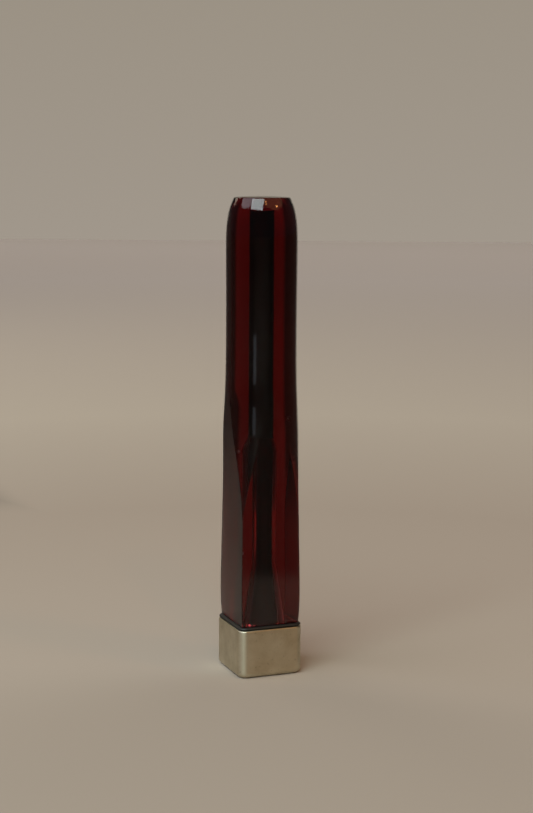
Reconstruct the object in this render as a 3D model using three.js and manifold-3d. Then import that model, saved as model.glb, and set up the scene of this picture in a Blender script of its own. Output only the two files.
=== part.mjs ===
// Slim swivel lipstick case: a tall square-to-round clear cap pulls off a square metal base and
// uncovers a thin sleeve. Turning the sleeve drives a helical cam that raises the lipstick.
// Millimetres, +Z up, origin at the centre of the base's underside.
import * as THREE from "three";
import { mergeVertices } from "three/addons/utils/BufferGeometryUtils.js";
import Module from "manifold-3d";

const wasm = await Module();
wasm.setup();

// Driving dimensions
const TOTAL_HEIGHT = 119.5;
const BASE_SIDE = 17.1;
const BASE_HEIGHT = 12.2;
const BASE_CORNER = 2.3;
const BASE_FOOT_ROUND = 1.4;
const BASE_WALL = 0.8;
const CAP_BORE = 3.2;
const UPPER_BORE = 1.93;
const BORE_STEP_LOW = 57;
const BORE_STEP_HIGH = 60.5;
const CAP_ROOF = 4;
const RIM_RADIUS = 6.35;
const MOUTH_RADIUS = 5.8;
const FLARE_TOP = 28;
const LIP_HEIGHT = 0.65;
const LIFT_TRAVEL = 28;
const CAM_PITCH = 20;
const SLEEVE_TOP = 55.4;
const LUG_HEIGHT = 20;
const LUG_RADIUS = 0.45;
const BULLET_RADIUS = 1.6;
const RUNNING_GAP = 0.07;
const SEAT_GAP = 0.15;
const REST_GAP = 0.1;
const LINER_GAP = 0.08;
const TIGHT_GAP = 0.05;

// Radii of the nested tubes, from the cap's bore inwards
const LINER_WALL = 0.17;
const SLEEVE_WALL = 0.16;
const CAM_WALL = 0.32;
const GUIDE_WALL = 0.25;
const CUP_WALL = 0.2;
const linerOuter = CAP_BORE - LINER_GAP;
const linerInner = linerOuter - LINER_WALL;
const sleeveOuter = linerInner - RUNNING_GAP;
const sleeveInner = sleeveOuter - SLEEVE_WALL;
const camOuter = sleeveInner - TIGHT_GAP;
const camInner = camOuter - CAM_WALL;
const guideOuter = camInner - RUNNING_GAP;
const guideInner = guideOuter - GUIDE_WALL;
const cupOuter = guideInner - RUNNING_GAP;
const cupInner = cupOuter - CUP_WALL;

const FINE = 56;
const ROUND = 36;

// Colour, roughness and metalness of each kind of material
const FINISHES = {
  cherry: { color: 0x4a0b0d, roughness: 0.12, metalness: 0 },
  dark: { color: 0x120d0b, roughness: 0.4, metalness: 0 },
  brown: { color: 0x2a1712, roughness: 0.45, metalness: 0 },
  nickelSilver: { color: 0xa89c7c, roughness: 0.35, metalness: 1 },
  steel: { color: 0x8d8f92, roughness: 0.4, metalness: 1 },
  brass: { color: 0xb08d4a, roughness: 0.35, metalness: 1 },
  rubber: { color: 0x151515, roughness: 0.8, metalness: 0 },
  lipstick: { color: 0x8e1522, roughness: 0.4, metalness: 0 },
};

const part = new THREE.Group();

function addMesh(name, geometry, finish) {
  const mesh = new THREE.Mesh(geometry, new THREE.MeshStandardMaterial(FINISHES[finish]));
  mesh.name = name;
  part.add(mesh);
}

// A closed geometry with shared vertices, faces pointing out
function closed(geometry) {
  geometry.deleteAttribute("normal");
  geometry.deleteAttribute("uv");
  const merged = mergeVertices(geometry);
  const index = merged.index.array;
  const corners = [new THREE.Vector3(), new THREE.Vector3(), new THREE.Vector3()];
  let volume = 0;
  for (let i = 0; i < index.length; i += 3) {
    corners.forEach((corner, k) => corner.fromBufferAttribute(merged.attributes.position, index[i + k]));
    volume += corners[0].dot(corners[1].cross(corners[2]));
  }
  if (volume < 0) {
    for (let i = 0; i < index.length; i += 3) {
      [index[i], index[i + 1]] = [index[i + 1], index[i]];
    }
  }
  return merged;
}

function solid(geometry) {
  const merged = closed(geometry);
  const vertProperties = new Float32Array(merged.attributes.position.array);
  const triVerts = new Uint32Array(merged.index.array);
  return new wasm.Manifold(new wasm.Mesh({ numProp: 3, vertProperties, triVerts }));
}

function fromSolid(body) {
  const mesh = body.getMesh();
  const geometry = new THREE.BufferGeometry();
  geometry.setAttribute("position", new THREE.Float32BufferAttribute(mesh.vertProperties, 3));
  geometry.setIndex(new THREE.Uint32BufferAttribute(mesh.triVerts, 1));
  return geometry;
}

// Turns a profile of [radius, height] points about Z
function revolve(profile, segments = ROUND) {
  const points = profile.map(([radius, height]) => new THREE.Vector2(radius, height));
  return closed(new THREE.LatheGeometry(points, segments).rotateX(Math.PI / 2));
}

function tube(outer, inner, low, high) {
  return revolve([[inner, low], [outer, low], [outer, high], [inner, high], [inner, low]]);
}

function rod(radius, low, high) {
  return revolve([[0, low], [radius, low], [radius, high], [0, high]]);
}

// Joins rings of equal length into one closed skin with fan caps
function loft(rings) {
  const count = rings[0].length;
  const positions = rings.flat().flatMap((point) => [point.x, point.y, point.z]);
  const index = [];
  for (let ring = 0; ring + 1 < rings.length; ring += 1) {
    for (let i = 0; i < count; i += 1) {
      const next = (i + 1) % count;
      const low = ring * count;
      const high = low + count;
      index.push(low + i, low + next, high + next, low + i, high + next, high + i);
    }
  }
  const last = (rings.length - 1) * count;
  for (let i = 1; i + 1 < count; i += 1) {
    index.push(0, i + 1, i, last, last + i, last + i + 1);
  }
  const geometry = new THREE.BufferGeometry();
  geometry.setAttribute("position", new THREE.Float32BufferAttribute(positions, 3));
  geometry.setIndex(index);
  return closed(geometry);
}

// A square ring at one height; a corner radius of zero leaves four sharp corners
function squareRing(half, corner, height) {
  const steps = corner > 0 ? 6 : 0;
  const ring = [];
  for (let quarter = 0; quarter < 4; quarter += 1) {
    const middle = (quarter + 0.5) * (Math.PI / 2);
    const reach = (half - corner) * Math.SQRT2;
    for (let step = 0; step <= steps; step += 1) {
      const turn = middle + (steps ? step / steps - 0.5 : 0) * (Math.PI / 2);
      const x = reach * Math.cos(middle) + corner * Math.cos(turn);
      const y = reach * Math.sin(middle) + corner * Math.sin(turn);
      ring.push(new THREE.Vector3(x, y, height));
    }
  }
  return ring;
}

function squareBlock(half, corner, low, high) {
  return loft([squareRing(half, corner, low), squareRing(half, corner, high)]);
}

// Heights and sizes along a smooth curve through a few stations
function alongCurve(stations, steps) {
  const curve = new THREE.CatmullRomCurve3(
    stations.map(([height, size]) => new THREE.Vector3(size, 0, height)),
    false,
    "centripetal",
  );
  return curve.getPoints(steps).map((point) => [point.z, point.x]);
}

// Base

function baseShell() {
  const half = BASE_SIDE / 2;
  const rings = [];
  const roundSteps = 5;
  for (let step = 0; step <= roundSteps; step += 1) {
    const turn = (step / roundSteps) * (Math.PI / 2);
    const inset = BASE_FOOT_ROUND * (1 - Math.sin(turn));
    const height = BASE_FOOT_ROUND * (1 - Math.cos(turn));
    rings.push(squareRing(half - inset, BASE_CORNER - inset, height));
  }
  rings.push(squareRing(half, BASE_CORNER, BASE_HEIGHT));
  const hollow = squareBlock(half - BASE_WALL, BASE_CORNER - BASE_WALL, BASE_WALL, BASE_HEIGHT + 1);
  return fromSolid(solid(loft(rings)).subtract(solid(hollow)));
}

const fillHalf = BASE_SIDE / 2 - BASE_WALL - SEAT_GAP;
const fillCorner = BASE_CORNER - BASE_WALL - SEAT_GAP;
const weightLow = BASE_WALL + SEAT_GAP;
const weightHigh = 6;
const insertLow = weightHigh + SEAT_GAP;
const insertHigh = BASE_HEIGHT - 0.2;
const counterboreHigh = insertLow + 1.8;
const counterboreRadius = 4.2;
const flangeLow = insertHigh + REST_GAP;
const flangeHigh = flangeLow + 0.9;
const flangeRadius = 4.3;
const guideLow = insertLow + 0.3;

function baseInsert() {
  const block = solid(squareBlock(fillHalf, fillCorner, insertLow, insertHigh));
  const bore = solid(rod(guideOuter + TIGHT_GAP, insertLow - 1, insertHigh + 1));
  const counterbore = solid(rod(counterboreRadius, insertLow - 1, counterboreHigh));
  return fromSolid(block.subtract(bore).subtract(counterbore));
}

function pushNut() {
  const low = insertLow + 0.5;
  return tube(counterboreRadius - SEAT_GAP, guideOuter + TIGHT_GAP, low, low + 0.9);
}

// Radius of the cap's bore: straight, then flared towards the mouth
const mouthHeight = BASE_HEIGHT + REST_GAP;
const flareSlope = (MOUTH_RADIUS - CAP_BORE) / (FLARE_TOP - mouthHeight);

function boreRadius(height) {
  return CAP_BORE + Math.max(0, FLARE_TOP - height) * flareSlope;
}

const COLLAR_GAP = 0.12;
const collarTop = 24;
const collarBore = sleeveOuter + RUNNING_GAP;
const collarInset = CAP_BORE - linerInner + COLLAR_GAP;
const gripHeight = 17;
const gripThickness = 0.8;
const gripStandOut = 0.06;

function seatCollar() {
  const low = insertHigh + REST_GAP;
  const outer = (height) => boreRadius(height) - collarInset;
  const shoulder = flangeHigh + REST_GAP;
  const groove = gripThickness * 0.6;
  const grooveDepth = gripThickness;
  return revolve([
    [flangeRadius + SEAT_GAP, low],
    [outer(low), low],
    [outer(gripHeight - groove), gripHeight - groove],
    [outer(gripHeight) - grooveDepth, gripHeight - groove],
    [outer(gripHeight) - grooveDepth, gripHeight + groove],
    [outer(gripHeight + groove), gripHeight + groove],
    [outer(collarTop - 0.3), collarTop - 0.3],
    [outer(collarTop) - 0.2, collarTop],
    [collarBore, collarTop],
    [collarBore, shoulder],
    [flangeRadius + SEAT_GAP, shoulder],
    [flangeRadius + SEAT_GAP, low],
  ]);
}

function capGripRing() {
  const radius = gripThickness / 2 - 0.02;
  const centre = boreRadius(gripHeight) - collarInset + gripStandOut - radius;
  const steps = 8;
  const profile = [];
  for (let step = 0; step <= steps; step += 1) {
    const turn = (step % steps) * ((2 * Math.PI) / steps);
    profile.push([centre + radius * Math.cos(turn), gripHeight + radius * Math.sin(turn)]);
  }
  return revolve(profile);
}

// Swivel mechanism

const guideTop = SLEEVE_TOP - 0.8;
const slotWidth = 2 * LUG_RADIUS + 0.2;
const lugTop = LUG_HEIGHT + LIFT_TRAVEL;

function guideTube() {
  const blank = revolve([
    [guideInner, guideLow],
    [guideOuter, guideLow],
    [guideOuter, flangeLow],
    [flangeRadius, flangeLow],
    [flangeRadius, flangeHigh],
    [guideOuter, flangeHigh],
    [guideOuter, guideTop],
    [guideInner, guideTop],
    [guideInner, guideLow],
  ]);
  const slotLow = LUG_HEIGHT - slotWidth / 2 - 0.1;
  const slotHigh = lugTop + slotWidth / 2 + 0.1;
  const slot = new THREE.BoxGeometry(2 * guideOuter + 2, slotWidth, slotHigh - slotLow);
  slot.translate(0, 0, (slotLow + slotHigh) / 2);
  return fromSolid(solid(blank).subtract(solid(slot)));
}

// Bar of square section that winds up the cam: one turn lifts it by CAM_PITCH
function helicalCutter(startAngle) {
  const turns = LIFT_TRAVEL / CAM_PITCH;
  const overrun = 0.6 / camInner / (2 * Math.PI);
  const steps = 32;
  const slope = Math.atan(CAM_PITCH / (Math.PI * (camInner + camOuter)));
  const halfHeight = (LUG_RADIUS + 0.12) / Math.cos(slope);
  const rings = [];
  for (let step = 0; step <= steps; step += 1) {
    const turn = -overrun + (step / steps) * (turns + 2 * overrun);
    const angle = startAngle - turn * 2 * Math.PI;
    const height = LUG_HEIGHT + turn * CAM_PITCH;
    const corner = (radius, offset) =>
      new THREE.Vector3(radius * Math.cos(angle), radius * Math.sin(angle), height + offset);
    rings.push([
      corner(camInner - 0.3, -halfHeight),
      corner(camOuter + 0.3, -halfHeight),
      corner(camOuter + 0.3, halfHeight),
      corner(camInner - 0.3, halfHeight),
    ]);
  }
  return loft(rings);
}

const washerLow = flangeHigh + REST_GAP;
const washerHigh = washerLow + 0.6;
const camLow = washerHigh + REST_GAP;
const ringHigh = guideTop - TIGHT_GAP;
const ringLow = ringHigh - 0.6;
const camTop = ringLow - REST_GAP;

function spiralTube() {
  const blank = solid(tube(camOuter, camInner, camLow, camTop));
  return fromSolid(blank.subtract(solid(helicalCutter(0))).subtract(solid(helicalCutter(Math.PI))));
}

function outerSleeve() {
  const rimLow = SLEEVE_TOP - 0.6;
  const rimInner = cupOuter + RUNNING_GAP;
  return revolve([
    [sleeveInner, camLow],
    [sleeveOuter, camLow],
    [sleeveOuter, SLEEVE_TOP - 0.15],
    [sleeveOuter - 0.15, SLEEVE_TOP],
    [rimInner, SLEEVE_TOP],
    [rimInner, rimLow],
    [sleeveInner, rimLow],
    [sleeveInner, camLow],
  ]);
}

// Lipstick and its carrier

const cupLow = LUG_HEIGHT - 2;
const cupHigh = cupLow + 9;
const cupFloor = 0.6;
const bulletTop = SLEEVE_TOP - 2;

function carrierCup() {
  const cup = revolve([
    [0, cupLow],
    [cupOuter, cupLow],
    [cupOuter, cupHigh],
    [cupInner, cupHigh],
    [cupInner, cupLow + cupFloor],
    [0, cupLow + cupFloor],
  ]);
  const lugReach = camOuter - TIGHT_GAP;
  let body = solid(cup);
  for (const side of [-1, 1]) {
    const lug = new THREE.CylinderGeometry(LUG_RADIUS, LUG_RADIUS, lugReach - cupInner - 0.02, 16);
    lug.rotateZ(Math.PI / 2);
    lug.translate(side * (lugReach + cupInner + 0.02) / 2, 0, LUG_HEIGHT);
    body = body.add(solid(lug));
  }
  return fromSolid(body);
}

function lipstickBullet() {
  const low = cupLow + cupFloor + REST_GAP;
  const blank = revolve([
    [0, low],
    [BULLET_RADIUS, low],
    [BULLET_RADIUS, bulletTop - 1.2],
    [BULLET_RADIUS * 0.93, bulletTop - 0.6],
    [BULLET_RADIUS * 0.72, bulletTop - 0.15],
    [0, bulletTop],
  ]);
  const slantTilt = THREE.MathUtils.degToRad(52);
  const slant = new THREE.BoxGeometry(20, 20, 20);
  slant.translate(0, 0, 10);
  slant.rotateX(slantTilt);
  slant.translate(0, 0, bulletTop - 1.6);
  return fromSolid(solid(blank).subtract(solid(slant)));
}

// Cap: where a turned form and a square form overlap, the round top runs into a square foot

const capFoot = BASE_HEIGHT + REST_GAP + LIP_HEIGHT + REST_GAP;

function capShell() {
  const roundSide = alongCurve([[38, 10.65], [44, 10.25], [50, 9.85], [56, 9.56], [62, 9.4],
    [68, 9.16], [75, 8.92], [84, 8.82], [95, 8.82], [106, 8.88], [111, 8.82], [114.2, 8.5],
    [116.8, 7.92], [118.9, 7.05]], 22);
  const profile = [[0, capFoot - 1], [12, capFoot - 1], [12, 34]];
  roundSide.forEach(([height, radius]) => profile.push([radius, height]));
  profile.push([RIM_RADIUS + 0.37, TOTAL_HEIGHT - 0.12], [RIM_RADIUS, TOTAL_HEIGHT], [0, TOTAL_HEIGHT]);
  const squareSide = alongCurve([[capFoot, 7.55], [16, 7.72], [21, 7.8], [30, 7.68], [38, 7.55],
    [44, 7.62], [50, 7.9], [56, 8.35], [62, 8.8], [68, 8.98], [TOTAL_HEIGHT + 1, 9.8]], 16);
  const square = loft(squareSide.map(([height, half]) => squareRing(half, 0, height)));
  const bore = revolve([
    [0, capFoot - 1],
    [boreRadius(capFoot - 1), capFoot - 1],
    [CAP_BORE, FLARE_TOP],
    [CAP_BORE, BORE_STEP_LOW],
    [UPPER_BORE, BORE_STEP_HIGH],
    [UPPER_BORE, TOTAL_HEIGHT - CAP_ROOF],
    [0, TOTAL_HEIGHT - CAP_ROOF],
  ]);
  return fromSolid(solid(revolve(profile, FINE)).intersect(solid(square)).subtract(solid(bore)));
}

function capLiner() {
    const roof = TOTAL_HEIGHT - CAP_ROOF - REST_GAP;
  const outer = (height) => boreRadius(height) - LINER_GAP;
  const inner = (height) => outer(height) - LINER_WALL;
  return revolve([
    [outer(capFoot), capFoot],
    [linerOuter, FLARE_TOP],
    [linerOuter, BORE_STEP_LOW - REST_GAP],
    [UPPER_BORE - LINER_GAP, BORE_STEP_HIGH - REST_GAP],
    [UPPER_BORE - LINER_GAP, roof],
    [0, roof],
    [0, roof - 0.4],
    [UPPER_BORE - LINER_GAP - LINER_WALL, roof - 0.4],
    [UPPER_BORE - LINER_GAP - LINER_WALL, BORE_STEP_HIGH - REST_GAP],
    [linerInner, BORE_STEP_LOW - REST_GAP],
    [linerInner, FLARE_TOP],
    [inner(capFoot), capFoot],
    [outer(capFoot), capFoot],
  ]);
}

function capMouthRing() {
  const low = BASE_HEIGHT + REST_GAP;
  const half = BASE_SIDE / 2 - 0.15;
  const ring = solid(squareBlock(half, BASE_CORNER - 0.3, low, low + LIP_HEIGHT));
  const hole = solid(rod(boreRadius(low) - LINER_GAP, low - 1, low + LIP_HEIGHT + 1));
  return fromSolid(ring.subtract(hole));
}

addMesh("base_shell", baseShell(), "nickelSilver");
addMesh("base_weight", squareBlock(fillHalf, fillCorner, weightLow, weightHigh), "steel");
addMesh("base_insert", baseInsert(), "brown");
addMesh("push_nut", pushNut(), "steel");
addMesh("seat_collar", seatCollar(), "brown");
addMesh("cap_grip_ring", capGripRing(), "rubber");
addMesh("guide_tube", guideTube(), "brass");
addMesh("friction_washer", tube(sleeveOuter, guideOuter + TIGHT_GAP, washerLow, washerHigh), "rubber");
addMesh("retaining_ring", tube(camOuter, guideOuter + TIGHT_GAP, ringLow, ringHigh), "steel");
addMesh("spiral_tube", spiralTube(), "brass");
addMesh("outer_sleeve", outerSleeve(), "nickelSilver");
addMesh("carrier_cup", carrierCup(), "brass");
addMesh("lipstick_bullet", lipstickBullet(), "lipstick");
addMesh("cap_shell", capShell(), "cherry");
addMesh("cap_liner", capLiner(), "dark");
addMesh("cap_mouth_ring", capMouthRing(), "dark");

export default part;
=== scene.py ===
import math

import bmesh
import bpy
from mathutils import Matrix, Vector


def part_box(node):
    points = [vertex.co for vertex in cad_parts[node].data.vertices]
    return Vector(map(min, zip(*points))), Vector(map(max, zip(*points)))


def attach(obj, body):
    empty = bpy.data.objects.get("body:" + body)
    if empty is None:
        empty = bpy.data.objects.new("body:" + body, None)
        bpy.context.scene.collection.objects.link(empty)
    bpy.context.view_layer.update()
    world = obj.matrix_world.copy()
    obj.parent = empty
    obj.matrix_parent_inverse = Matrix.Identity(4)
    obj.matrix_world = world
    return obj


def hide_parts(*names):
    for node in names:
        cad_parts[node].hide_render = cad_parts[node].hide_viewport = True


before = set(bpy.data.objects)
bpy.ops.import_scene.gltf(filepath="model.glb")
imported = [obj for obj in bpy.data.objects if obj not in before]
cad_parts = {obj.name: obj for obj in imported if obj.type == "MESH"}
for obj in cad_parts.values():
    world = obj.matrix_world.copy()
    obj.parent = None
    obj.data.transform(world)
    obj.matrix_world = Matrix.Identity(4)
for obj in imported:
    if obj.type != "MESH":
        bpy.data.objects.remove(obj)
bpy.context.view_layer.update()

MM = 0.001
TAU = 2 * math.pi
QUARTER = math.pi / 2
EIGHTH = math.pi / 4

# ---------------------------------------------------------------- sizes

_, base_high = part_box("base_shell")
cap_low, cap_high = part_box("cap_shell")
ring_low, ring_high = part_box("cap_mouth_ring")
sleeve_low, sleeve_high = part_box("outer_sleeve")
liner_low, liner_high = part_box("cap_liner")
collar_low, collar_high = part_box("seat_collar")
bullet_low, bullet_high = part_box("lipstick_bullet")

BASE_CORNER = 2.3 * MM
BASE_FOOT_ROUND = 1.4 * MM
BASE_WALL = 0.8 * MM
BASE_EDGE = 0.3 * MM
BASE_INNER_DROP = 0.5 * MM

# The clear cap and the dark liner in its bore
CAP_BORE = 3.2 * MM
UPPER_CORE = 2.06 * MM
FLARE_TOP = 28 * MM
MOUTH_RADIUS = 5.8 * MM
BORE_STEP_LOW = 56.9 * MM
BORE_STEP_HIGH = 60.4 * MM
AIR_GAP = 0.08 * MM
BOND = 0.01 * MM
LINER_WALL = 0.17 * MM
LINER_ROOF = 0.4 * MM
ROOF_GAP = 0.1 * MM
LINER_RADIUS = CAP_BORE - AIR_GAP

CAP_FOOT_ROUND = 0.08 * MM
CAP_FOOT_HALF = 7.6 * MM
CREASE_SPREAD = math.radians(2.5)
CORNER_EASE = 0.35 * MM
CREASE_EASE = 0.12 * MM
RIM_HEIGHT = 118.9 * MM
RIM_RADIUS = 7.05 * MM
RIM_ROUND = 0.55 * MM
RIM_START = math.radians(25)
CROWN_REACH = 0.93

LIP_EDGE = 0.25 * MM
LIP_CORNER = BASE_CORNER - 0.3 * MM

# The collar that the cap seats on, with a groove for the grip ring
COLLAR_GAP = 0.12 * MM
COLLAR_FLANGE = 4.45 * MM
COLLAR_FOOT = 1 * MM
COLLAR_EDGE = 0.3 * MM
GROOVE_HEIGHT = 17 * MM
GROOVE_HALF = 0.48 * MM
GROOVE_DEPTH = 0.8 * MM

RUNNING_GAP = 0.07 * MM
SLEEVE_WALL = 0.16 * MM
SLEEVE_EDGE = 0.2 * MM
SLEEVE_LIP = 0.6 * MM
FINE_EDGE = 0.08 * MM
CUP_OUTER = 1.95 * MM
CUP_WALL = 0.2 * MM
CUP_FLOOR = 0.6 * MM
LUG_RADIUS = 0.45 * MM
LUG_HEIGHT = 20 * MM
LUG_ROOT = 0.1 * MM
LUG_EDGE = 0.1 * MM

BULLET_RADIUS = 1.6 * MM
BULLET_DOME = 1.2 * MM
BULLET_CUT = 0.6 * MM
BULLET_SLANT = math.radians(52)
DOME_POWER = 1.3

# ---------------------------------------------------------------- mesh helpers


def mesh_object(name, vertices, faces, sharp_angle=30):
    """A smooth-shaded mesh object; edges steeper than sharp_angle degrees stay sharp."""
    mesh = bpy.data.meshes.new(name)
    mesh.from_pydata([tuple(v) for v in vertices], [], faces)
    bm = bmesh.new()
    bm.from_mesh(mesh)
    bmesh.ops.recalc_face_normals(bm, faces=bm.faces)
    bm.to_mesh(mesh)
    bm.free()
    mesh.shade_smooth()
    mesh.set_sharp_from_angle(angle=math.radians(sharp_angle))
    piece = bpy.data.objects.new(name, mesh)
    bpy.context.scene.collection.objects.link(piece)
    return piece


def bridge(first, second):
    """Quads between two equal rings of vertex numbers."""
    count = len(first)
    return [(first[i], first[(i + 1) % count], second[(i + 1) % count], second[i]) for i in range(count)]


def middle(ring):
    return sum((Vector(point) for point in ring), Vector()) / len(ring)


def rings_object(name, rings, tips=None, loop=False, sharp_angle=30):
    """Joins equal rings of points into one skin, joined last to first or closed by a tip at each end."""
    count = len(rings[0])
    vertices = [point for ring in rings for point in ring]
    numbers = [list(range(k * count, (k + 1) * count)) for k in range(len(rings))]
    faces = []
    for low, high in zip(numbers, numbers[1:]):
        faces += bridge(low, high)
    if loop:
        faces += bridge(numbers[-1], numbers[0])
        return mesh_object(name, vertices, faces, sharp_angle)
    tips = tips or [middle(rings[0]), middle(rings[-1])]
    for ring, tip in zip((numbers[0], numbers[-1]), tips):
        hub = len(vertices)
        vertices.append(tip)
        faces += [(ring[i], ring[(i + 1) % count], hub) for i in range(count)]
    return mesh_object(name, vertices, faces, sharp_angle)


def circle(radius, height, count=128):
    turns = [TAU * i / count for i in range(count)]
    return [(radius * math.cos(turn), radius * math.sin(turn), height) for turn in turns]


def turned(name, profile, count=128, loop=False, sharp_angle=30):
    """A turned piece from (radius, height) points; loop joins the profile's ends."""
    return rings_object(name, [circle(r, h, count) for r, h in profile], loop=loop, sharp_angle=sharp_angle)


def scale_ring(ring, radius, height):
    """The ring's directions, all at one radius and height."""
    return [(radius * x / math.hypot(x, y), radius * y / math.hypot(x, y), height) for x, y, _ in ring]


def rounded_square(half, corner, height, steps=14, flat_steps=10):
    """A ring of points round a square with round corners, with points along the flats too."""
    ring = []
    reach = half - corner
    for quarter in range(4):
        cos_q, sin_q = math.cos(quarter * QUARTER), math.sin(quarter * QUARTER)
        points = [(half, -reach + 2 * reach * k / flat_steps) for k in range(flat_steps)]
        for k in range(steps):
            angle = QUARTER * k / steps
            points.append((reach + corner * math.cos(angle), reach + corner * math.sin(angle)))
        ring += [(x * cos_q - y * sin_q, x * sin_q + y * cos_q, height) for x, y in points]
    return ring


def rounded_edge(radius, height, round_off, steps=6):
    """Profile points of a quarter-round edge that turns inwards as it rises to a height."""
    points = []
    for k in range(steps + 1):
        turn = QUARTER * k / steps
        points.append((radius - round_off * (1 - math.cos(turn)), height - round_off * (1 - math.sin(turn))))
    return points


def through(stations, value):
    """Smooth curve through (height, size) stations: cubic Hermite with Catmull-Rom slopes."""
    heights = [s[0] for s in stations]
    sizes = [s[1] for s in stations]
    if value <= heights[0]:
        return sizes[0]
    if value >= heights[-1]:
        return sizes[-1]
    k = max(i for i in range(len(heights) - 1) if heights[i] <= value)

    def slope(i):
        before = max(i - 1, 0)
        after = min(i + 1, len(sizes) - 1)
        return (sizes[after] - sizes[before]) / (heights[after] - heights[before])

    span = heights[k + 1] - heights[k]
    t = (value - heights[k]) / span
    return (
        (2 * t**3 - 3 * t**2 + 1) * sizes[k]
        + (t**3 - 2 * t**2 + t) * span * slope(k)
        + (3 * t**2 - 2 * t**3) * sizes[k + 1]
        + (t**3 - t**2) * span * slope(k + 1)
    )


def soft_min(a, b, width):
    """The smaller of two values, with the change from one to the other rounded off."""
    overlap = max(width - abs(a - b), 0) / width
    return min(a, b) - overlap * overlap * width / 4


# ---------------------------------------------------------------- material helpers


def new_material(name):
    """An empty node material; returns it with its shader and output nodes."""
    material = bpy.data.materials.new(name)
    material.use_nodes = True
    material.node_tree.nodes.clear()
    output = node(material, "ShaderNodeOutputMaterial")
    shader = node(material, "ShaderNodeBsdfPrincipled")
    link(material, shader.outputs["BSDF"], output.inputs["Surface"])
    return material, shader, output


def node(material, kind, **settings):
    made = material.node_tree.nodes.new(kind)
    for key, value in settings.items():
        setattr(made, key, value)
    return made


def link(material, source, target):
    material.node_tree.links.new(source, target)


def feed(material, socket, source):
    """Links an output to a socket, or sets a fixed value on it."""
    if isinstance(source, bpy.types.NodeSocket):
        link(material, source, socket)
    else:
        socket.default_value = source


def grey(value):
    return (value, value, value)


def noise_texture(material, scale, detail=4, roughness=0.55, stretch=(1, 1, 1)):
    """Noise in object space, scale in features per metre."""
    place = node(material, "ShaderNodeTexCoord")
    mapping = node(material, "ShaderNodeMapping")
    mapping.inputs["Scale"].default_value = stretch
    texture = node(material, "ShaderNodeTexNoise")
    texture.inputs["Scale"].default_value = scale
    texture.inputs["Detail"].default_value = detail
    texture.inputs["Roughness"].default_value = roughness
    link(material, place.outputs["Object"], mapping.inputs["Vector"])
    link(material, mapping.outputs["Vector"], texture.inputs["Vector"])
    return texture.outputs["Fac"]


def ramp(material, source, stops):
    """A colour ramp through (position, colour) stops."""
    made = node(material, "ShaderNodeValToRGB")
    elements = made.color_ramp.elements
    while len(elements) < len(stops):
        elements.new(0.5)
    for element, (position, colour) in zip(elements, stops):
        element.position = position
        element.color = (*colour, 1)
    link(material, source, made.inputs["Fac"])
    return made.outputs["Color"]


def bump(material, shader, source, strength, distance):
    made = node(material, "ShaderNodeBump")
    made.inputs["Strength"].default_value = strength
    made.inputs["Distance"].default_value = distance
    link(material, source, made.inputs["Height"])
    link(material, made.outputs["Normal"], shader.inputs["Normal"])


def eased(material, source, start, end):
    """0 to 1 as source goes from start to end, eased at both ends."""
    made = node(material, "ShaderNodeMapRange", interpolation_type="SMOOTHSTEP")
    made.inputs["From Min"].default_value = start
    made.inputs["From Max"].default_value = end
    link(material, source, made.inputs["Value"])
    return made.outputs["Result"]


def combine(material, operation, first, second):
    """Arithmetic on two values, each an output or a fixed number."""
    made = node(material, "ShaderNodeMath", operation=operation)
    feed(material, made.inputs[0], first)
    feed(material, made.inputs[1], second)
    return made.outputs["Value"]


def blend(material, factor, first, second, blend_type="MIX"):
    """Mixes two colours, each an output or a fixed colour with its alpha."""
    made = node(material, "ShaderNodeMix", data_type="RGBA", blend_type=blend_type)
    feed(material, made.inputs["Factor"], factor)
    feed(material, made.inputs["A"], first)
    feed(material, made.inputs["B"], second)
    return made.outputs["Result"]


def vector_math(material, operation, vector, other=(0, 0, 0)):
    """The outputs of a vector operation on an output and, where it takes one, a fixed vector."""
    made = node(material, "ShaderNodeVectorMath", operation=operation)
    link(material, vector, made.inputs[0])
    made.inputs[1].default_value = other
    return made.outputs


# ---------------------------------------------------------------- viewpoint

CAMERA_TURN = math.radians(-21.6)
CAMERA_DISTANCE = 420 * MM
CAMERA_HEIGHT = 129.2 * MM
CAMERA_SHIFT = 1.41 * MM
CAMERA_PITCH = math.radians(8.385)
CAMERA_ROLL = math.radians(0.38)
CAMERA_LENS = 75.3
OBJECT_MIDDLE = (0, 0, 60 * MM)

view_turn = Matrix.Rotation(CAMERA_TURN, 4, "Z")


def placed(azimuth, elevation, distance, centre=OBJECT_MIDDLE):
    """A point seen from a centre at an azimuth right of the camera and an elevation, in degrees."""
    a, e = math.radians(azimuth), math.radians(elevation)
    out = Vector((math.sin(a) * math.cos(e), -math.cos(a) * math.cos(e), math.sin(e)))
    return Vector(centre) + view_turn.to_3x3() @ out * distance


# ---------------------------------------------------------------- materials

RESIN_IOR = 1.48
RESIN_TINT = (0.70, 0.1, 0.12, 1)
RESIN_DENSITY = 470
WORN_ROUGHNESS = 0.4
CHIP_ROUGHNESS = 0.65

# Small chips in the resin: azimuth right of the camera, then height, distance from the axis and size in mm
CHIPS = ((47, 65.2, 9.3, 0.6), (-34, 57.2, 9.5, 0.5), (-23.5, 32, 10.7, 0.45))


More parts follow.
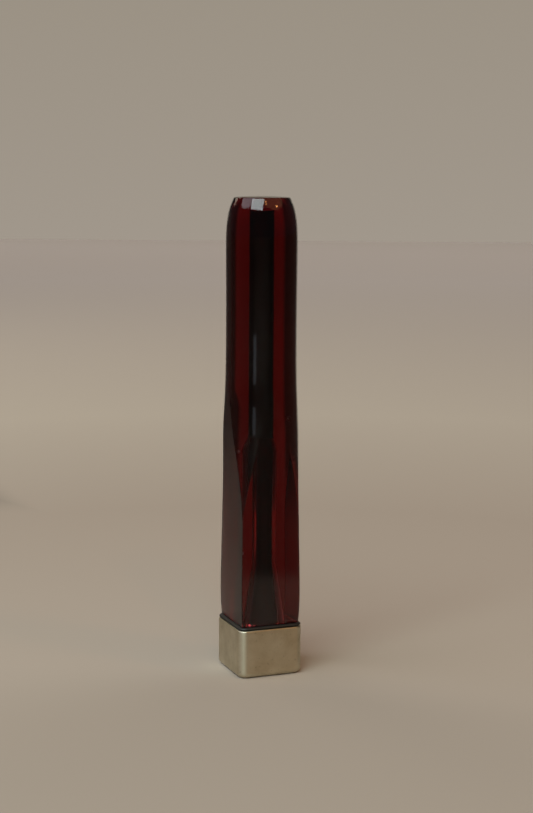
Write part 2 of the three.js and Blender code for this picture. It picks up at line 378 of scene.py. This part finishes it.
def cherry_resin():
    """Polished clear cherry-red resin, coloured by its depth, with a worn left face and a few chips."""
    material, shader, output = new_material("cherry_resin")
    shader.inputs["Base Color"].default_value = (1, 1, 1, 1)
    shader.inputs["Transmission Weight"].default_value = 1
    shader.inputs["IOR"].default_value = RESIN_IOR
    haze = noise_texture(material, 420, detail=6, roughness=0.6)
    polish = ramp(material, haze, [(0.35, grey(0.004)), (0.75, grey(0.02))])
    place = node(material, "ShaderNodeTexCoord")
    left = vector_math(material, "DOT_PRODUCT", place.outputs["Normal"], (-1, 0, 0))["Value"]
    worn = ramp(material, left, [(0.95, grey(0)), (0.99, grey(1))])
    rough = blend(material, worn, polish, (*grey(WORN_ROUGHNESS), 1))
    for azimuth, height, radius, size in CHIPS:
        centre = placed(azimuth, 0, radius * MM, (0, 0, height * MM))
        away = vector_math(material, "DISTANCE", place.outputs["Object"], centre)["Value"]
        chipped = eased(material, away, size * MM, size * MM / 2)
        chip_rough = combine(material, "MULTIPLY", chipped, CHIP_ROUGHNESS)
        rough = combine(material, "MAXIMUM", rough, chip_rough)
    link(material, rough, shader.inputs["Roughness"])
    depth = node(material, "ShaderNodeVolumeAbsorption")
    depth.inputs["Color"].default_value = RESIN_TINT
    depth.inputs["Density"].default_value = RESIN_DENSITY
    link(material, depth.outputs["Volume"], output.inputs["Volume"])
    return material


def nickel_silver(name, base, tarnish, roughness=0.42):
    """Worn satin nickel silver: yellow-grey, cloudy tarnish, fine scratches and dark specks."""
    material, shader, _ = new_material(name)
    shader.inputs["Metallic"].default_value = 1
    shader.inputs["Anisotropic"].default_value = 0.75
    shader.inputs["Anisotropic Rotation"].default_value = 0.25
    clouds = noise_texture(material, 190, detail=7, roughness=0.62)
    colour = ramp(material, clouds, [(0.3, tarnish), (0.68, base)])
    specks = noise_texture(material, 1500, detail=2, roughness=0.5)
    speck_mask = ramp(material, specks, [(0.27, grey(0.78)), (0.34, grey(1.0))])
    specked = blend(material, 1, colour, speck_mask, "MULTIPLY")
    link(material, specked, shader.inputs["Base Color"])
    rough = ramp(material, clouds, [(0.3, grey(roughness + 0.08)), (0.7, grey(roughness - 0.05))])
    link(material, rough, shader.inputs["Roughness"])
    scratches = noise_texture(material, 600, detail=5, roughness=0.7, stretch=(1, 1, 0.08))
    bump(material, shader, scratches, 0.12, 0.04 * MM)
    return material


def lacquer(name, colour, roughness):
    """Dark lacquer or resin with slight colour and gloss variation."""
    material, shader, _ = new_material(name)
    clouds = noise_texture(material, 260, detail=5)
    darker = tuple(c * 0.7 for c in colour)
    link(material, ramp(material, clouds, [(0.3, darker), (0.7, colour)]), shader.inputs["Base Color"])
    rough = ramp(material, clouds, [(0.3, grey(roughness)), (0.7, grey(roughness + 0.12))])
    link(material, rough, shader.inputs["Roughness"])
    shader.inputs["IOR"].default_value = 1.5
    fine = noise_texture(material, 2600, detail=3)
    bump(material, shader, fine, 0.06, 0.03 * MM)
    return material


def plain_metal(name, colour, roughness):
    """Drawn metal with fine lengthwise lines."""
    material, shader, _ = new_material(name)
    shader.inputs["Metallic"].default_value = 1
    lines = noise_texture(material, 900, detail=5, roughness=0.65, stretch=(1, 1, 0.03))
    darker = tuple(c * 0.75 for c in colour)
    link(material, ramp(material, lines, [(0.3, darker), (0.7, colour)]), shader.inputs["Base Color"])
    rough = ramp(material, lines, [(0.3, grey(roughness + 0.1)), (0.7, grey(roughness))])
    link(material, rough, shader.inputs["Roughness"])
    bump(material, shader, lines, 0.1, 0.03 * MM)
    return material


def lipstick_wax():
    """Smooth wax with a soft sheen and a faint drag from its mould."""
    material, shader, _ = new_material("lipstick_wax")
    drag = noise_texture(material, 700, detail=4, stretch=(1, 1, 0.1))
    colour = ramp(material, drag, [(0.3, (0.30, 0.012, 0.025)), (0.7, (0.36, 0.018, 0.032))])
    link(material, colour, shader.inputs["Base Color"])
    rough = ramp(material, drag, [(0.3, grey(0.3)), (0.7, grey(0.42))])
    link(material, rough, shader.inputs["Roughness"])
    shader.inputs["Subsurface Weight"].default_value = 0.12
    shader.inputs["Subsurface Radius"].default_value = (1.2 * MM, 0.4 * MM, 0.3 * MM)
    bump(material, shader, drag, 0.15, 0.03 * MM)
    return material


CHERRY = cherry_resin()
NICKEL = nickel_silver("nickel_silver", (0.66, 0.60, 0.455), (0.52, 0.455, 0.32))
SLEEVE = nickel_silver("sleeve_nickel", (0.66, 0.60, 0.48), (0.56, 0.50, 0.38), roughness=0.28)
LINER = lacquer("liner_black", (0.003, 0.003, 0.003), 0.6)
LIP = lacquer("lip_black", (0.008, 0.0075, 0.007), 0.42)
BROWN = lacquer("brown_resin", (0.05, 0.024, 0.016), 0.35)
RUBBER = lacquer("soft_rubber", (0.02, 0.02, 0.02), 0.6)
BRASS = plain_metal("mechanism_brass", (0.66, 0.48, 0.2), 0.28)
STEEL = plain_metal("hidden_steel", (0.5, 0.5, 0.51), 0.32)
WAX = lipstick_wax()


def fit_out(piece, material, body, slot, *replaced):
    """Gives a piece its material and body, and hides the CAD nodes that it stands for. The slot is not used.
    """
    piece.data.materials.clear()
    piece.data.materials.append(material)
    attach(piece, body)
    if replaced:
        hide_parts(*replaced)


# ---------------------------------------------------------------- cap

# The cap's round form as (height, radius) and its square form as (height, half width), in millimetres
ROUND_SIDE = [
    (0, 12.4), (30, 11.2), (38, 10.65), (44, 10.25), (50, 9.85), (56, 9.56), (62, 9.4), (68, 9.16),
    (75, 8.92), (84, 8.82), (95, 8.82), (106, 8.88), (111, 8.82), (114.2, 8.5), (116.8, 7.92), (118.9, 7.05),
]
SQUARE_SIDE = [
    (13.4, 7.55), (16, 7.72), (21, 7.8), (30, 7.68), (38, 7.55), (44, 7.62), (50, 7.9), (56, 8.35),
    (62, 8.8), (68, 8.98), (90, 9.35), (120.5, 9.8),
]

# How many steps each part of the cap's surface takes
FLAT_STEPS = 7
CREASE_STEPS = 7
CORNER_STEPS = 6
FOOT_STEPS = 4
SIDE_STEPS = 150
RIM_STEPS = 7
CROWN_SHARES = (0.92, 0.8, 0.6, 0.4, 0.2, 0.05)
FLARE_RISES = (0, 4 * MM, 9 * MM)
LOWER_BORE_MIDDLE = 40 * MM
UPPER_BORE_RINGS = (68 * MM, 78 * MM, 88 * MM, 98 * MM, 108 * MM)


def cap_radius(angle, height):
    """Outer radius: a round form and a square form, whichever is smaller, edges eased by polishing."""
    round_part = through(ROUND_SIDE, height / MM) * MM
    half = through(SQUARE_SIDE, height / MM) * MM
    across = half / max(abs(math.cos(angle)), 1e-6)
    along = half / max(abs(math.sin(angle)), 1e-6)
    return soft_min(soft_min(across, along, CORNER_EASE), round_part, CREASE_EASE)


def eighth_angles(height):
    """Angles from a flat's middle towards its corner, gathered where the flat meets the round form."""
    round_part = through(ROUND_SIDE, height / MM)
    half = through(SQUARE_SIDE, height / MM)
    crease = math.acos(min(half / round_part, 1))
    crease = min(max(crease, CREASE_SPREAD * 1.2), EIGHTH - CREASE_SPREAD * 1.05)
    start = crease - CREASE_SPREAD
    end = crease + CREASE_SPREAD
    angles = [start * k / FLAT_STEPS for k in range(FLAT_STEPS)]
    angles += [start + (end - start) * k / CREASE_STEPS for k in range(CREASE_STEPS)]
    angles += [end + (EIGHTH - end) * k / CORNER_STEPS for k in range(CORNER_STEPS)]
    return angles


def cap_ring(height):
    """A ring of outer points; every height has the same number."""
    eighth = eighth_angles(height)
    ring = []
    for quarter in range(4):
        start = quarter * QUARTER
        angles = [start + a for a in eighth] + [start + EIGHTH]
        angles += [start + QUARTER - a for a in reversed(eighth[1:])]
        for angle in angles:
            radius = cap_radius(angle, height)
            ring.append((radius * math.cos(angle), radius * math.sin(angle), height))
    return ring


def bore_radius(height):
    """The bore's radius below its step: a straight tube over a flared mouth."""
    if height < FLARE_TOP:
        slope = (MOUTH_RADIUS - CAP_BORE) / (FLARE_TOP - ring_low.z)
        return CAP_BORE + (FLARE_TOP - height) * slope
    return CAP_BORE


def cap_foot():
    """Rings of the small round where the sides turn under."""
    rings = []
    for k in range(FOOT_STEPS):
        turn = QUARTER * k / FOOT_STEPS
        share = 1 - CAP_FOOT_ROUND * (1 - math.sin(turn)) / CAP_FOOT_HALF
        ring = cap_ring(cap_low.z + CAP_FOOT_ROUND * (1 - math.cos(turn)))
        rings.append([(x * share, y * share, z) for x, y, z in ring])
    return rings


def cap_side():
    """Rings up the cap's outside, from the foot's round to the rim."""
    start = cap_low.z + CAP_FOOT_ROUND
    return [cap_ring(start + (RIM_HEIGHT - start) * k / SIDE_STEPS) for k in range(SIDE_STEPS + 1)]


def cap_crown(rim):
    """Rings of the rounded rim and the slightly domed top, in the directions of the ring below them."""
    rings = []
    for k in range(1, RIM_STEPS + 1):
        turn = RIM_START + (QUARTER - RIM_START) * k / RIM_STEPS
        radius = RIM_RADIUS - RIM_ROUND * (math.cos(RIM_START) - math.cos(turn))
        rim_height = RIM_HEIGHT + RIM_ROUND * (math.sin(turn) - math.sin(RIM_START))
        rings.append(scale_ring(rim, radius, rim_height))
    for share in CROWN_SHARES:
        height = rim_height + (cap_high.z - rim_height) * (1 - share * share)
        rings.append(scale_ring(rim, RIM_RADIUS * CROWN_REACH * share, height))
    return rings


def cap_bore(foot_ring, roof):
    """Rings of the bore, from its flared mouth up to its roof."""
    upper = UPPER_CORE - BOND
    profile = [(bore_radius(cap_low.z + rise), cap_low.z + rise) for rise in FLARE_RISES]
    profile += [(CAP_BORE, height) for height in (FLARE_TOP, LOWER_BORE_MIDDLE, BORE_STEP_LOW)]
    profile += [(upper, height) for height in (BORE_STEP_HIGH, *UPPER_BORE_RINGS, roof)]
    return [scale_ring(foot_ring, radius, height) for radius, height in profile]


def cap_body():
    """The clear cap as one skin, from the crown's tip down the outside and up the bore."""
    outside = cap_foot() + cap_side()
    outside += cap_crown(outside[-1])
    roof = liner_high.z + ROOF_GAP
    rings = outside[::-1] + cap_bore(outside[0], roof)
    return rings_object("cap_resin", rings, tips=[(0, 0, cap_high.z), (0, 0, roof)], sharp_angle=24)


def cap_liner():
    """Dark tube in the bore, flared at the foot and stepped in at the middle."""
    roof = liner_high.z
    outer = [(UPPER_CORE, roof), (UPPER_CORE, BORE_STEP_HIGH), (LINER_RADIUS, BORE_STEP_LOW),
             (LINER_RADIUS, FLARE_TOP), (bore_radius(liner_low.z) - AIR_GAP, liner_low.z)]
    inner = [(radius - LINER_WALL, height) for radius, height in reversed(outer[1:])]
    inner += [(UPPER_CORE - LINER_WALL, roof - LINER_ROOF)]
    return turned("cap_liner_tube", outer + inner)


def mouth_ring():
    """Thin square lip with round corners and a round hole."""
    half = ring_high.x
    low, high = ring_low.z, ring_high.z
    hole = bore_radius(low) - AIR_GAP
    rings = [rounded_square(half - LIP_EDGE, LIP_CORNER - LIP_EDGE, low),
             rounded_square(half, LIP_CORNER, low + LIP_EDGE),
             rounded_square(half, LIP_CORNER, high - LIP_EDGE),
             rounded_square(half - LIP_EDGE, LIP_CORNER - LIP_EDGE, high)]
    rings += [scale_ring(rings[0], hole, high), scale_ring(rings[0], hole, low)]
    return rings_object("cap_mouth_lip", rings, loop=True, sharp_angle=50)


fit_out(cap_body(), CHERRY, "cap", "cherry_resin", "cap_shell")
fit_out(cap_liner(), LINER, "cap", "liner_black", "cap_liner")
fit_out(mouth_ring(), LIP, "cap", "lip_black", "cap_mouth_ring")

# ---------------------------------------------------------------- base


def base_ring(inset, height):
    """A ring of the base cup, set in from its outside."""
    return rounded_square(base_high.x - inset, BASE_CORNER - inset, height)


def base_cup():
    """Drawn square cup: soft foot, straight walls and a rolled top edge."""
    foot_steps, wall_steps, edge_steps = 8, 12, 7
    shoulder = base_high.z - BASE_EDGE
    rings = []
    for k in range(foot_steps + 1):
        turn = QUARTER * k / foot_steps
        inset = BASE_FOOT_ROUND * (1 - math.sin(turn))
        rings.append(base_ring(inset, BASE_FOOT_ROUND * (1 - math.cos(turn))))
    for k in range(1, wall_steps + 1):
        rings.append(base_ring(0, BASE_FOOT_ROUND + (shoulder - BASE_FOOT_ROUND) * k / wall_steps))
    for k in range(1, edge_steps):
        turn = math.pi * k / edge_steps
        rings.append(base_ring(BASE_EDGE * (1 - math.cos(turn)), shoulder + BASE_EDGE * math.sin(turn)))
    rings += [base_ring(BASE_WALL, base_high.z - BASE_INNER_DROP), base_ring(BASE_WALL, BASE_WALL)]
    return rings_object("base_cup", rings, sharp_angle=50)


def collar_radius(height):
    """The collar's outside, which follows the liner's inside."""
    return bore_radius(height) - AIR_GAP - LINER_WALL - COLLAR_GAP


def seat_collar():
    """Moulded collar: stepped foot, a groove for the grip ring and a rounded top edge."""
    low, high = collar_low.z, collar_high.z
    groove_low = GROOVE_HEIGHT - GROOVE_HALF
    groove_high = GROOVE_HEIGHT + GROOVE_HALF
    groove_floor = collar_radius(GROOVE_HEIGHT) - GROOVE_DEPTH
    shoulder = low + COLLAR_FOOT
    bore = sleeve_high.x + RUNNING_GAP
    profile = [(COLLAR_FLANGE, low), (collar_radius(low), low), (collar_radius(groove_low), groove_low),
               (groove_floor, groove_low), (groove_floor, groove_high),
               (collar_radius(groove_high), groove_high)]
    profile += rounded_edge(collar_radius(high - COLLAR_EDGE), high, COLLAR_EDGE)
    profile += [(bore, high), (bore, shoulder), (COLLAR_FLANGE, shoulder)]
    return turned("collar_moulding", profile, loop=True)


def grip_ring():
    """Soft round-section ring in the collar's groove."""
    low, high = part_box("cap_grip_ring")
    section_steps = 16
    radius = (high.z - low.z) / 2
    centre = high.x - radius
    height = (high.z + low.z) / 2
    turns = [TAU * k / section_steps for k in range(section_steps)]
    profile = [(centre + radius * math.cos(turn), height + radius * math.sin(turn)) for turn in turns]
    return turned("grip_ring", profile, loop=True, sharp_angle=60)


fit_out(base_cup(), NICKEL, "base", "base_metal", "base_shell")
fit_out(seat_collar(), BROWN, "base", "brown_resin", "seat_collar")
fit_out(grip_ring(), RUBBER, "base", "soft_rubber", "cap_grip_ring")

# ---------------------------------------------------------------- sleeve and lipstick


def sleeve_tube():
    """Thin drawn sleeve with a rounded, inturned top lip."""
    low, high = sleeve_low.z, sleeve_high.z
    outer = sleeve_high.x
    inner = outer - SLEEVE_WALL
    lip_inner = CUP_OUTER + RUNNING_GAP
    lip_low = high - SLEEVE_LIP
    profile = [(inner, low), (outer, low)] + rounded_edge(outer, high, SLEEVE_EDGE)
    profile += [(lip_inner + FINE_EDGE, high), (lip_inner, high - FINE_EDGE), (lip_inner, lip_low)]
    profile += [(inner, lip_low)]
    return turned("sleeve_tube", profile, loop=True, sharp_angle=40)


def cup_body():
    """Plated cup that holds the lipstick, with a rounded rim."""
    low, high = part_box("carrier_cup")
    inner = CUP_OUTER - CUP_WALL
    profile = [(CUP_OUTER, low.z)] + rounded_edge(CUP_OUTER, high.z, FINE_EDGE)
    profile += [(inner, high.z), (inner, low.z + CUP_FLOOR)]
    return turned("cup_body", profile, sharp_angle=40)


def cup_lug(name, side):
    """One of the two pegs that run in the cam's grooves."""
    _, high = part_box("carrier_cup")
    reach = high.x
    profile = [(LUG_RADIUS, CUP_OUTER - LUG_ROOT), (LUG_RADIUS, reach - LUG_EDGE),
               (LUG_RADIUS - LUG_EDGE, reach)]
    peg = turned(name, profile, count=32)
    peg.data.transform(Matrix.Translation((0, 0, LUG_HEIGHT)) @ Matrix.Rotation(side * QUARTER, 4, "Y"))
    return peg


def bullet_face(y):
    """Height of the lipstick's slanted face at a distance from the axis."""
    return bullet_high.z - BULLET_CUT + math.tan(BULLET_SLANT) * y


def bullet():
    """Moulded lipstick: a domed stick with one slanted face."""
    stick_steps, dome_steps = 12, 15
    low, top = bullet_low.z, bullet_high.z
    rings = []
    for k in range(stick_steps + 1):
        ring = []
        for x, y, _ in circle(BULLET_RADIUS, 0):
            limit = min(top - BULLET_DOME, bullet_face(y))
            ring.append((x, y, low + (limit - low) * k / stick_steps))
        rings.append(ring)
    for k in range(1, dome_steps):
        share = 1 - (k / dome_steps) ** DOME_POWER
        crown = top - BULLET_DOME * (1 - math.sqrt(1 - share * share))
        rings.append([(x, y, min(crown, bullet_face(y))) for x, y, _ in circle(BULLET_RADIUS * share, 0)])
    return rings_object("lipstick_stick", rings, sharp_angle=35)


fit_out(sleeve_tube(), SLEEVE, "swivel", "sleeve_metal", "outer_sleeve")
for cup_piece in (cup_body(), cup_lug("cup_lug_right", 1), cup_lug("cup_lug_left", -1)):
    fit_out(cup_piece, BRASS, "carrier", "mechanism_brass", "carrier_cup")
fit_out(bullet(), WAX, "carrier", "lipstick_wax", "lipstick_bullet")

# ---------------------------------------------------------------- finishes of the CAD pieces that stay

CAD_FINISHES = {
    "base_weight": STEEL, "base_insert": BROWN, "push_nut": STEEL, "guide_tube": BRASS,
    "friction_washer": RUBBER, "retaining_ring": STEEL, "spiral_tube": BRASS,
}
for name, material in CAD_FINISHES.items():
    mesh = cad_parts[name].data
    mesh.materials.clear()
    mesh.materials.append(material)

# ---------------------------------------------------------------- floor and backdrop

FLOOR_SIZE = 30

# The floor's colour near the object, further off and towards the backdrop, at shares of a reach in metres,
# with painted shade that keeps it darker near the object
PAPER_REACH = 1.43
PAPER_TONES_WITH_PAINTED_SHADE = [(0.14, (0.475, 0.40, 0.335)), (0.3, (0.63, 0.565, 0.48)), (0.95, (0.70, 0.66, 0.625))]
# Painted shade: the floor's colour where no light is painted
PAINTED_SHADE_FLOOR_COLOUR = (0.11, 0.1, 0.086, 1)
# Painted shade on the floor in front of the object
PAINTED_FRONT_SHADE = 0.84

# The floor has painted light: its full colour in a wedge behind the object and in a pool round it, painted
# shade elsewhere.
# Edges and reaches run from dim to full: edges in degrees from the middle of the wedge or of the front,
# reaches in metres.
WEDGE_MIDDLE = 2.5
WEDGE_EDGES = (33, 25)
FRONT_EDGES = (26, 16)
FRONT_SHARE = 0.2
SIDE_REACH = (0.3, 0.2)
POOL_REACH = (0.26, 0.11)

# Painted shade: darker sectors of the painted pool, which the cap's clear faces mirror: azimuth, half-width,
# inner radius in metres
PAINTED_SHADE_SECTORS = ((136, 32, 0.108), (-54, 20, 0.15))
SECTOR_EDGE = 11
SECTOR_FADE = 0.03

BACKDROP_DISTANCE = 2.2
BACKDROP_LEFT = -1.09
BACKDROP_RIGHT = 1.32
BACKDROP_HEIGHT = 1.6
BACKDROP_FADE = 0.55
BACKDROP_TONES = [(0, (0.342, 0.299, 0.25)), (1, (0.306, 0.266, 0.211))]


def cosine(degrees):
    return math.cos(math.radians(degrees))


def along(material, unit, azimuth):
    """Cosine of the angle between a floor point's direction and an azimuth right of straight behind."""
    turn = math.radians(azimuth)
    towards = view_turn.to_3x3() @ Vector((math.sin(turn), math.cos(turn), 0))
    return vector_math(material, "DOT_PRODUCT", unit, towards)["Value"]


def paper_colour_with_painted_shade(material, distance, behind):
    """The paper's colour with painted shade: darker near the object and paler further off, and a painted
    shade in front.
    """
    reach = combine(material, "DIVIDE", distance, PAPER_REACH)
    # Painted shade: darker near the object, paler further off
    tone = ramp(material, reach, PAPER_TONES_WITH_PAINTED_SHADE)
    # Painted shade in front of the object
    shade = ramp(material, eased(material, behind, -0.9, 0.1), [(0, grey(PAINTED_FRONT_SHADE)), (1, grey(1))])
    return blend(material, 1, tone, shade, "MULTIPLY")


def painted_light_pool(material, unit, distance, behind):
    """Painted light: 1 in the pool round the object and beside it, 0 further off and in the painted shade
    sectors.
    """
    beside = eased(material, behind, -0.55, -0.2)
    sides = combine(material, "MULTIPLY", beside, eased(material, distance, *SIDE_REACH))
    near = combine(material, "MAXIMUM", sides, eased(material, distance, *POOL_REACH))
    for azimuth, width, inner in PAINTED_SHADE_SECTORS:
        edges = (cosine(width), cosine(width - SECTOR_EDGE))
        sector = eased(material, along(material, unit, azimuth), *edges)
        outside = eased(material, distance, inner, inner + SECTOR_FADE)
        dimmed = combine(material, "MULTIPLY", sector, outside)
        near = combine(material, "MULTIPLY", near, combine(material, "SUBTRACT", 1, dimmed))
    return near


def painted_floor_light(material, unit, distance, behind):
    """How much painted light a floor point has, as a share of its full colour: a wedge behind, the pool and
    a faint front.
    """
    wedge_edges = [cosine(edge) for edge in WEDGE_EDGES]
    front_edges = [cosine(edge) for edge in FRONT_EDGES]
    wedge = eased(material, along(material, unit, WEDGE_MIDDLE), *wedge_edges)
    front = eased(material, along(material, unit, 180), *front_edges)
    front = combine(material, "MULTIPLY", front, FRONT_SHARE)
    lit = combine(material, "MAXIMUM", wedge, painted_light_pool(material, unit, distance, behind))
    return combine(material, "MAXIMUM", lit, front)


def floor_paper():
    """Matt pale paper with painted light: full colour in a wide wedge behind the object and a pool round it,
    painted shade elsewhere.
    """
    material, shader, _ = new_material("floor_paper")
    place = node(material, "ShaderNodeTexCoord").outputs["Object"]
    distance = vector_math(material, "LENGTH", place)["Value"]
    unit = vector_math(material, "NORMALIZE", place)["Vector"]
    behind = along(material, unit, 0)
    lit = painted_floor_light(material, unit, distance, behind)
    # Painted light: the paper's colour where light is painted, painted shade elsewhere
    colour = blend(material, lit, PAINTED_SHADE_FLOOR_COLOUR, paper_colour_with_painted_shade(material, distance, behind))
    link(material, colour, shader.inputs["Base Color"])
    shader.inputs["Roughness"].default_value = 0.9
    shader.inputs["Specular IOR Level"].default_value = 0.1
    grain = noise_texture(material, 1200, detail=3)
    bump(material, shader, grain, 0.05, 0.1 * MM)
    return material


def backdrop_paper():
    """Pale paper with an even light of its own, slightly darker higher up."""
    material, shader, _ = new_material("backdrop_paper")
    place = node(material, "ShaderNodeTexCoord")
    axes = node(material, "ShaderNodeSeparateXYZ")
    link(material, place.outputs["Object"], axes.inputs[0])
    rise = combine(material, "DIVIDE", axes.outputs["Z"], BACKDROP_FADE)
    link(material, ramp(material, rise, BACKDROP_TONES), shader.inputs["Emission Color"])
    shader.inputs["Emission Strength"].default_value = 1
    shader.inputs["Base Color"].default_value = (0.02, 0.02, 0.02, 1)
    shader.inputs["Roughness"].default_value = 1
    return material


def stage_sheet(name, corners, material):
    """A flat sheet of the set, which is not part of the object."""
    sheet = mesh_object(name, corners, [(0, 1, 2, 3)])
    sheet.data.materials.append(material)


def upright_corners():
    """Corners of the backdrop, well behind the object and as wide as the floor's wedge of painted light."""
    ends = ((BACKDROP_LEFT, 0), (BACKDROP_RIGHT, 0), (BACKDROP_RIGHT, BACKDROP_HEIGHT),
            (BACKDROP_LEFT, BACKDROP_HEIGHT))
    return [view_turn @ Vector((across, BACKDROP_DISTANCE, height)) for across, height in ends]


FLOOR_CORNERS = [(x * FLOOR_SIZE, y * FLOOR_SIZE, 0) for x, y in ((-1, -1), (1, -1), (1, 1), (-1, 1))]
stage_sheet("floor", FLOOR_CORNERS, floor_paper())
stage_sheet("backdrop", upright_corners(), backdrop_paper())

# ---------------------------------------------------------------- lights and camera


def add_lamp(name, data, colour):
    data.color = colour
    lamp = bpy.data.objects.new(name, data)
    bpy.context.scene.collection.objects.link(lamp)
    return lamp


def softbox(name, azimuth, elevation, distance, width, height, radiance, colour):
    """An area light with a given radiance, facing the object; sizes in metres."""
    data = bpy.data.lights.new(name, "AREA")
    data.shape = "RECTANGLE"
    data.size = width
    data.size_y = height
    data.energy = radiance * math.pi * width * height
    lamp = add_lamp(name, data, colour)
    lamp.location = placed(azimuth, elevation, distance)
    lamp.rotation_euler = (lamp.location - Vector(OBJECT_MIDDLE)).to_track_quat("Z", "Y").to_euler()


def sun(name, azimuth, elevation, strength, spread, colour):
    """Even light over the whole stage, with a soft edge to its shadows."""
    data = bpy.data.lights.new(name, "SUN")
    data.energy = strength
    data.angle = math.radians(spread)
    lamp = add_lamp(name, data, colour)
    lamp.rotation_euler = placed(azimuth, elevation, 1, (0, 0, 0)).to_track_quat("Z", "Y").to_euler()


softbox("window", azimuth=-20, elevation=45, distance=0.9, width=0.6, height=0.42,
        radiance=6.8, colour=(0.83, 1.0, 1.0))
softbox("window_low", azimuth=-20, elevation=-4.4, distance=0.6, width=0.1, height=0.026,
        radiance=0.5, colour=(0.8, 0.88, 1.0))
softbox("back_fill", azimuth=-137, elevation=32, distance=1.0, width=0.5, height=0.4,
        radiance=1.2, colour=(1.0, 0.88, 0.68))
softbox("lamp_near", azimuth=18, elevation=47, distance=0.9, width=0.05, height=0.1,
        radiance=16, colour=(1.0, 0.42, 0.12))
softbox("lamp_far", azimuth=62, elevation=36, distance=0.9, width=0.12, height=0.07,
        radiance=16, colour=(1.0, 0.42, 0.12))
sun("key", azimuth=-72, elevation=48, strength=0.93, spread=45, colour=(0.94, 0.97, 1.03))
sun("warm_fill", azimuth=60, elevation=60, strength=0.5, spread=70, colour=(1.0, 0.64, 0.34))

world = bpy.data.worlds.new("room")
world.use_nodes = True
world.node_tree.nodes["Background"].inputs["Color"].default_value = (0.95, 0.98, 1.0, 1)
world.node_tree.nodes["Background"].inputs["Strength"].default_value = 0.05
bpy.context.scene.world = world
bpy.context.scene.view_settings.view_transform = "Standard"

camera_data = bpy.data.cameras.new("camera")
camera_data.lens = CAMERA_LENS
camera_data.sensor_width = 36
camera_data.clip_start = 0.01
camera_data.clip_end = 20
camera = bpy.data.objects.new("camera", camera_data)
bpy.context.scene.collection.objects.link(camera)
camera.matrix_world = (
    view_turn
    @ Matrix.Translation((CAMERA_SHIFT, -CAMERA_DISTANCE, CAMERA_HEIGHT))
    @ Matrix.Rotation(QUARTER - CAMERA_PITCH, 4, "X")
    @ Matrix.Rotation(CAMERA_ROLL, 4, "Z")
)
bpy.context.scene.camera = camera
